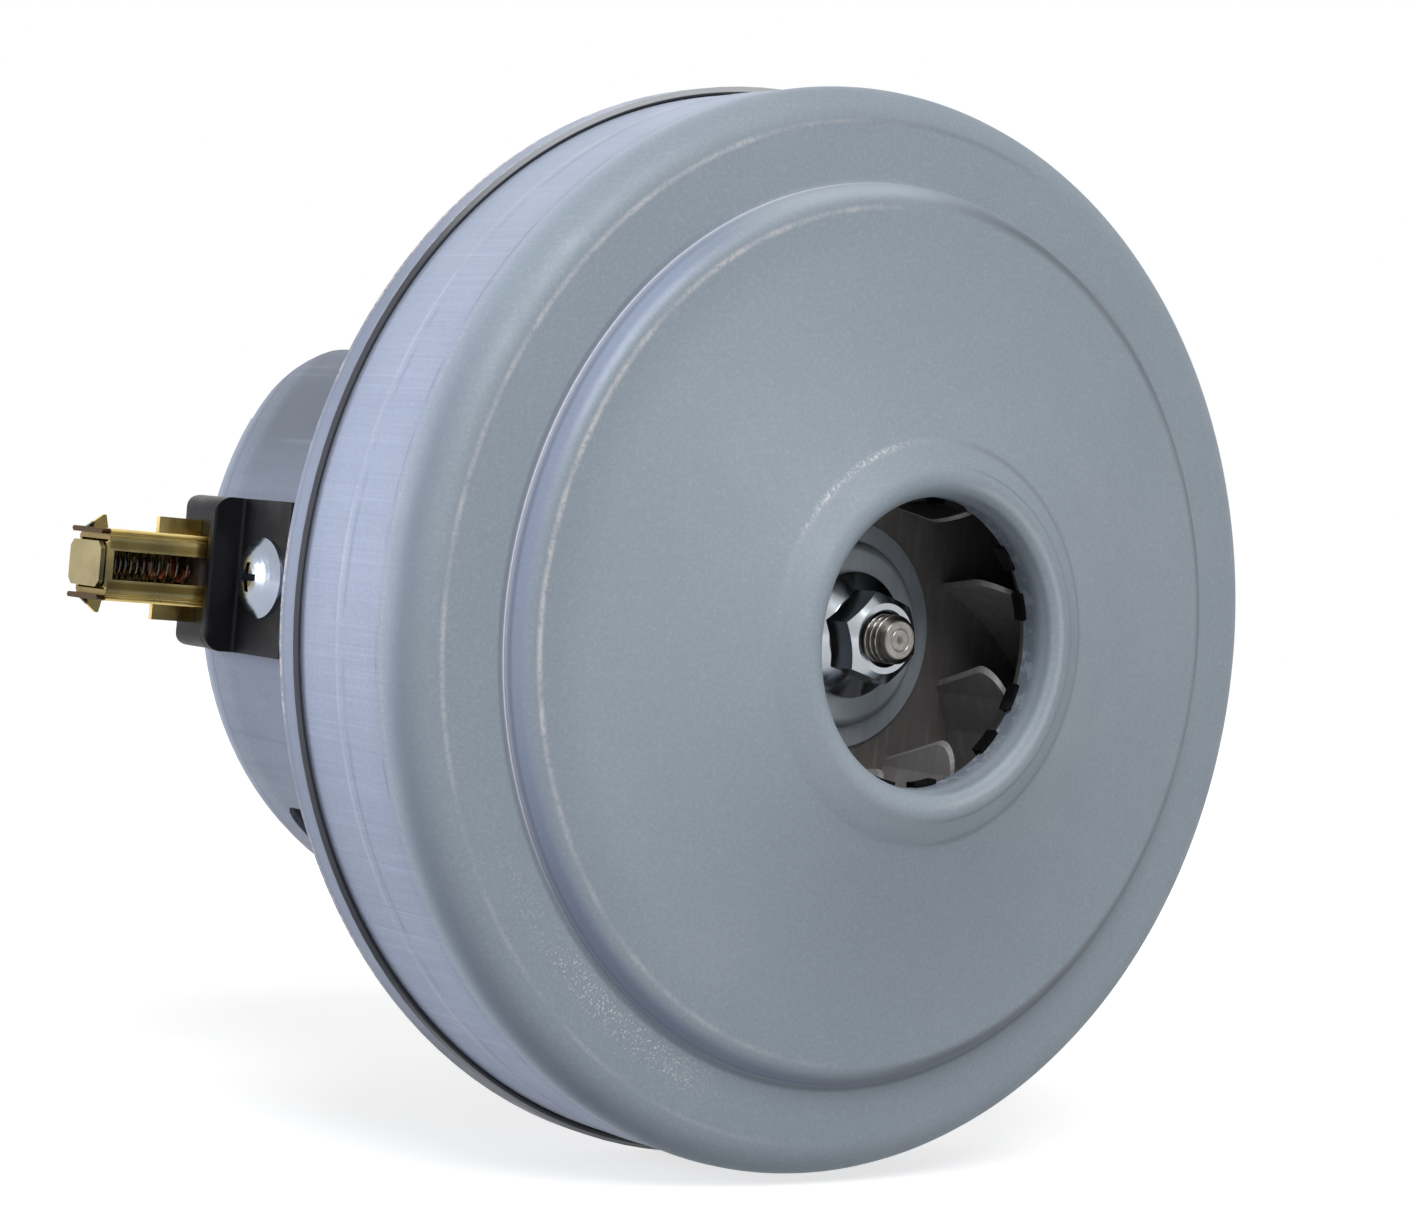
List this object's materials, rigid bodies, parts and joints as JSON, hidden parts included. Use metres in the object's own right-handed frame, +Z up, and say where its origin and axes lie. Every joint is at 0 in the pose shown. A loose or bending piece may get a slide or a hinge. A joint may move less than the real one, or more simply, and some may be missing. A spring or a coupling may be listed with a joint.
{
  "type": "vacuum motor unit",
  "caption": "Suction motor for a vacuum cleaner: drawn fan cover with a rolled air inlet, flanged motor can with side brush holders, and a fan on the motor shaft.",
  "frame": {"origin": "on the shaft axis in the plane of the casing rim collar", "axes": "+Y along the shaft from the air inlet towards the motor's rear bearing, X along the brushes, +Z up through the open notch of the can"},
  "size_m": [0.135, 0.1109, 0.135],
  "materials": {
    "cover_sheet": "satin zinc-coated sheet with fine scuffs on the creases",
    "casing_sheet": "satin zinc-coated sheet with draw marks",
    "black_seal": "matt moulded plastic",
    "dark_plastic": "moulded glass-filled plastic",
    "black_plastic": "glossy moulded thermoset",
    "bright_zinc": "bright zinc plating",
    "pressed_steel": "pressed steel",
    "bearing_steel": "ground bearing steel",
    "spring_steel": "dark drawn wire",
    "lamination_steel": "stacked sheet edges",
    "enamelled_copper": "enamelled winding wire",
    "bare_copper": "bare copper",
    "bobbin_plastic": "moulded plastic",
    "resin": "moulded resin",
    "shaft_steel": "turned steel",
    "fan_aluminium": "dull sheet aluminium",
    "washer_steel": "satin zinc-coated steel",
    "brass_sheet": "pressed brass strip",
    "carbon": "pressed carbon"
  },
  "bodies": {
    "housing": {"fan_cover": "cover_sheet", "motor_casing": "casing_sheet", "inlet_seal_ring": "black_seal", "diffuser": "dark_plastic", "diffuser_screws": "bright_zinc", "bracket_screws": "bright_zinc", "brush_holder_screws": "bright_zinc", "bearing_bracket": "pressed_steel", "front_bearing_outer_ring": "bearing_steel", "rear_bearing_outer_ring": "bearing_steel", "rear_wave_washer": "spring_steel", "stator_core": "lamination_steel", "field_coil_upper": "enamelled_copper", "field_coil_lower": "enamelled_copper", "coil_bobbins": "bobbin_plastic", "brush_holder_left": "black_plastic", "brush_holder_right": "black_plastic", "brush_box_left": "brass_sheet", "brush_box_right": "brass_sheet", "brush_spring_left": "spring_steel", "brush_spring_right": "spring_steel", "brush_pigtail_left": "bare_copper", "brush_pigtail_right": "bare_copper"},
    "rotor": {"rotor_shaft": "shaft_steel", "armature_core": "lamination_steel", "armature_end_plates": "resin", "armature_winding": "enamelled_copper", "commutator_bars": "bare_copper", "commutator_hub": "resin", "fan_spacer": "pressed_steel", "fan_rear_washer": "pressed_steel", "fan_back_plate": "fan_aluminium", "fan_blades": "fan_aluminium", "fan_front_plate": "fan_aluminium", "fan_front_washer": "washer_steel", "flange_nut": "bright_zinc", "front_bearing_inner_ring": "bearing_steel", "rear_bearing_inner_ring": "bearing_steel"},
    "front_ball_set": {"front_bearing_balls": "bearing_steel", "front_bearing_cage": "brass_sheet"},
    "rear_ball_set": {"rear_bearing_balls": "bearing_steel", "rear_bearing_cage": "brass_sheet"},
    "brush_left": {"carbon_brush_left": "carbon"},
    "brush_right": {"carbon_brush_right": "carbon"}
  },
  "joints": [
    {"name": "rotor_spin", "type": "hinge", "parent": "housing", "child": "rotor", "pos_m": [0, 0, 0], "axis": [0, 1, 0], "continuous": true},
    {"name": "front_ball_orbit", "type": "hinge", "parent": "housing", "child": "front_ball_set", "pos_m": [0, 0, 0], "axis": [0, 1, 0], "continuous": true},
    {"name": "rear_ball_orbit", "type": "hinge", "parent": "housing", "child": "rear_ball_set", "pos_m": [0, 0, 0], "axis": [0, 1, 0], "continuous": true},
    {"name": "brush_left_slide", "type": "slide", "parent": "housing", "child": "brush_left", "axis": [-1, 0, 0], "range_m": [0, 0.005], "stiffness_N_per_m": 150, "springref_m": -0.02, "deforming": ["brush_spring_left", "brush_pigtail_left"]},
    {"name": "brush_right_slide", "type": "slide", "parent": "housing", "child": "brush_right", "axis": [1, 0, 0], "range_m": [0, 0.005], "stiffness_N_per_m": 150, "springref_m": -0.02, "deforming": ["brush_spring_right", "brush_pigtail_right"]}
  ],
  "couplings": [
    {"joint": "front_ball_orbit", "follows": "rotor_spin", "ratio": 0.37},
    {"joint": "rear_ball_orbit", "follows": "rotor_spin", "ratio": 0.3654}
  ]
}
